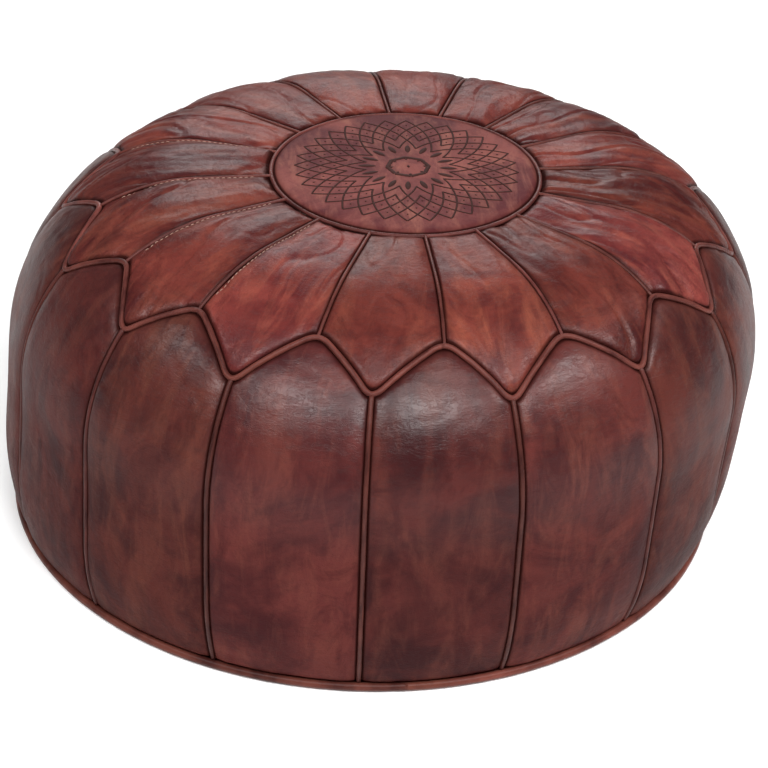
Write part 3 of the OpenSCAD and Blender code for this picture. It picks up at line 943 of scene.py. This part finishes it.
def stitched_line(r, a, width=THREAD_W, height=0.45 * MM):
    """A raised line of stitches along polar points, as vertices and faces."""
    x, y = r * np.sin(a), -r * np.cos(a)
    dx, dy = np.gradient(x), np.gradient(y)
    size = np.hypot(dx, dy)
    nx, ny = -dy / size, dx / size
    run = np.cumsum(size)
    swell = 0.75 + 0.25 * np.abs(np.sin(math.pi * run / (3.0 * MM)))
    shape = ((-0.5, -0.3), (-0.4, 0.6), (0.0, 1.0), (0.4, 0.6), (0.5, -0.3))
    wide, tall = width * swell, height * swell
    rows = [on_medallion(x + nx * w * wide, y + ny * w * wide, h * tall) for w, h in shape]
    points = np.stack(rows, axis=1)
    return points.reshape(-1, 3), grid_faces(len(x) - 1, len(shape) - 1)[:, ::-1]


def filled_shape(r, a):
    """A satin-stitched patch inside a closed polar outline."""
    height = 0.3 * MM
    x, y = r * np.sin(a), -r * np.cos(a)
    cx, cy = x.mean(), y.mean()
    outer = on_medallion(x, y, -0.2 * MM)
    inner = on_medallion(cx + (x - cx) * 0.8, cy + (y - cy) * 0.8, height)
    middle = on_medallion(np.array([cx]), np.array([cy]), height * 1.2)
    n = len(x)
    faces = [(k, (k + 1) % n, n + (k + 1) % n, n + k) for k in range(n)]
    faces += [(n + k, n + (k + 1) % n, 2 * n, 2 * n) for k in range(n)]
    return np.vstack([outer, inner, middle]), np.array(faces)


def dot(r, a, wide, tall):
    """A small satin-stitched diamond at a polar place."""
    corner = np.arange(8) * math.pi / 4
    size = 1 - 0.35 * (np.arange(8) % 2)
    return filled_shape(r + tall * size * np.cos(corner), a + wide * size * np.sin(corner) / r)


def leaf(r, a, wide, tall):
    """A satin-stitched leaf that points outwards from the middle, fuller towards the rim."""
    turn = np.arange(16) * math.pi / 8
    out, side = np.cos(turn), np.sin(turn) * (1 - 0.25 * np.cos(turn)) * np.abs(np.sin(turn)) ** 0.3
    return filled_shape(r + tall * out, a + wide * side / r)


def embroidery():
    """Interlaced lines that make rows of diamonds, a 16-pointed star, 16 leaves and a ring."""
    shapes = []
    t = np.linspace(0, 1, 40)
    for k in range(SCALLOPS):
        tip = (k + 0.35) * 2 * math.pi / SCALLOPS
        for way in (-1, 1):
            shapes.append(stitched_line(PATTERN_R * (0.99 - 0.445 * t), tip + way * STAR_PITCH * t))
        for row, r in enumerate((0.88, 0.767, 0.643)):
            shapes.append(dot(PATTERN_R * r, tip + (row % 2) * math.pi / SCALLOPS, 0.85 * MM, 1.2 * MM))
    u = np.linspace(-1, 1, 29)
    for k in range(16):
        point = (k + 0.175) * STAR_PITCH
        shapes.append(stitched_line(PATTERN_R * (0.375 + 0.175 * np.abs(u)), point + u * STAR_PITCH / 2))
        shapes.append(leaf(0.36 * PATTERN_R, point + STAR_PITCH / 2, 2.5 * MM, 7.6 * MM))
    for k in range(8):
        a = np.linspace(k, k + 1, 8) * math.pi / 4
        r = 0.185 / np.cos(a - (k + 0.5) * math.pi / 4) * math.cos(math.pi / 8)
        shapes.append(stitched_line(PATTERN_R * r, a, 4.2 * MM, 0.5 * MM))
        shapes.append(dot(PATTERN_R * 0.150, k * math.pi / 4, 1.5 * MM, 2.0 * MM))
    shapes.append(filled_shape(*centre_diamond(1.3 * MM, 2.9 * MM)))
    points, faces, first = [], [], 0
    for p, f in shapes:
        points.append(p)
        faces += [tuple(dict.fromkeys((row + first).tolist())) for row in f]
        first += len(p)
    mesh = bpy.data.meshes.new("embroidery")
    mesh.from_pydata(np.vstack(points).tolist(), [], faces)
    piece("embroidery", mesh, "medallion_embroidery", slot="embroidery_thread", material=thread_material())


def centre_diamond(wide, tall):
    corner = np.arange(4) * math.pi / 2
    x, y = wide * np.sin(corner), -tall * np.cos(corner)
    return np.hypot(x, y), np.arctan2(x, -y)


# ---- underside ----


def half_base(node, side, material):
    """One half of the base: gathered into a flat ring that stands on the floor, and drawn in to the zip."""
    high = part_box(node)[1]
    outer, middle_z = high[0], high[2] - LEATHER_T
    t = np.linspace(0, math.pi, 241)[:, None]
    r = outer * (0.002 + 0.998 * np.linspace(0, 1, 71)[None] ** 0.7)
    x = r * np.cos(t)
    edge = ZIP_EDGE * np.clip((ZIP_HALF - np.abs(x)) / (5 * MM), 0.03, 1)
    y = edge + r * np.sin(t) * (1 - edge / outer)
    from_foot = (FOOT_R - np.hypot(x, y)).clip(0)
    dip = np.clip(from_foot / 0.016, 0, 1)
    z = middle_z * dip**2 * (3 - 2 * dip)
    folds = 0.5 + 0.5 * np.sin(66 * t + 2.5 * np.sin(6 * t)) * (0.6 + 0.4 * np.sin(11 * t))
    gathers = np.exp(-(((from_foot - 0.016) / 0.016) ** 2)) * np.clip(from_foot / 0.004, 0, 1)
    z = z + 2.4 * MM * folds * gathers
    z = z - 0.8 * MM * dip * noise(x / 0.045, y / 0.03, 5).clip(0) * np.clip((y - edge) / 0.02, 0, 1)
    turned = side * np.stack([x, y], axis=-1)
    points = np.concatenate([turned, z.clip(0)[..., None]], axis=-1)
    mesh = bpy.data.meshes.new(node)
    columns, rows = x.shape[0] - 1, x.shape[1] - 1
    mesh.from_pydata(points.reshape(-1, 3).tolist(), [], grid_faces(columns, rows)[:, ::-1].tolist())
    attribute(mesh, "at", "FLOAT_VECTOR", points * [1, 1, 0] + [0, 0, 7 * side])
    # edge marks where the leather material paints shade, darkening towards the rim and towards the zip
    attribute(mesh, "edge", "FLOAT", np.minimum(outer - np.hypot(x, y), y - edge).clip(0))
    attribute(mesh, "seam", "FLOAT", np.zeros(x.shape))
    attribute(mesh, "tint", "FLOAT_COLOR", np.tile([0.115, 0.026, 0.020, 1.0], (x.size, 1)))
    obj = piece(node.replace("base", "base_half"), mesh, node, slot="base_leather", material=material)
    thick = obj.modifiers.new("leather", "SOLIDIFY")
    thick.thickness, thick.offset = 0.8 * LEATHER_T, -1.0
    along_zip = np.linspace(-ZIP_HALF, ZIP_HALF, 60)
    beside = np.full_like(along_zip, side * (ZIP_EDGE + 3.5 * MM))
    return np.stack([along_zip, beside, np.full_like(along_zip, middle_z - 0.1 * MM)], axis=-1)


def underside():
    skin = leather("base_leather", 0.45, 0.8, 0.08, (220.0, 220.0))
    lines = [half_base("base_back", 1, skin), half_base("base_front", -1, skin)]
    piece("base_stitches", stitches(lines, -1), material=pale_thread())


def plain_nodes():
    """Materials for the CAD nodes that keep their own shape."""
    brass, tape = metal("zip_brass"), woven("zip_tape", (0.030, 0.018, 0.015, 1), 1800)
    cord = woven("piping_cord", (0.62, 0.55, 0.43, 1), 900)
    finishes = dict.fromkeys(("zip_teeth", "zip_bottom", "zip_top", "zip_slider", "zip_pull"), brass)
    finishes.update({"zip_tape": tape, "base_welt_cord": cord})
    for name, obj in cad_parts.items():
        for start, material in finishes.items():
            if name.startswith(start):
                obj.data.materials.clear()
                obj.data.materials.append(material)


camera()
studio()
sewn_skin()
medallion()
embroidery()
welts()
inside()
underside()
plain_nodes()
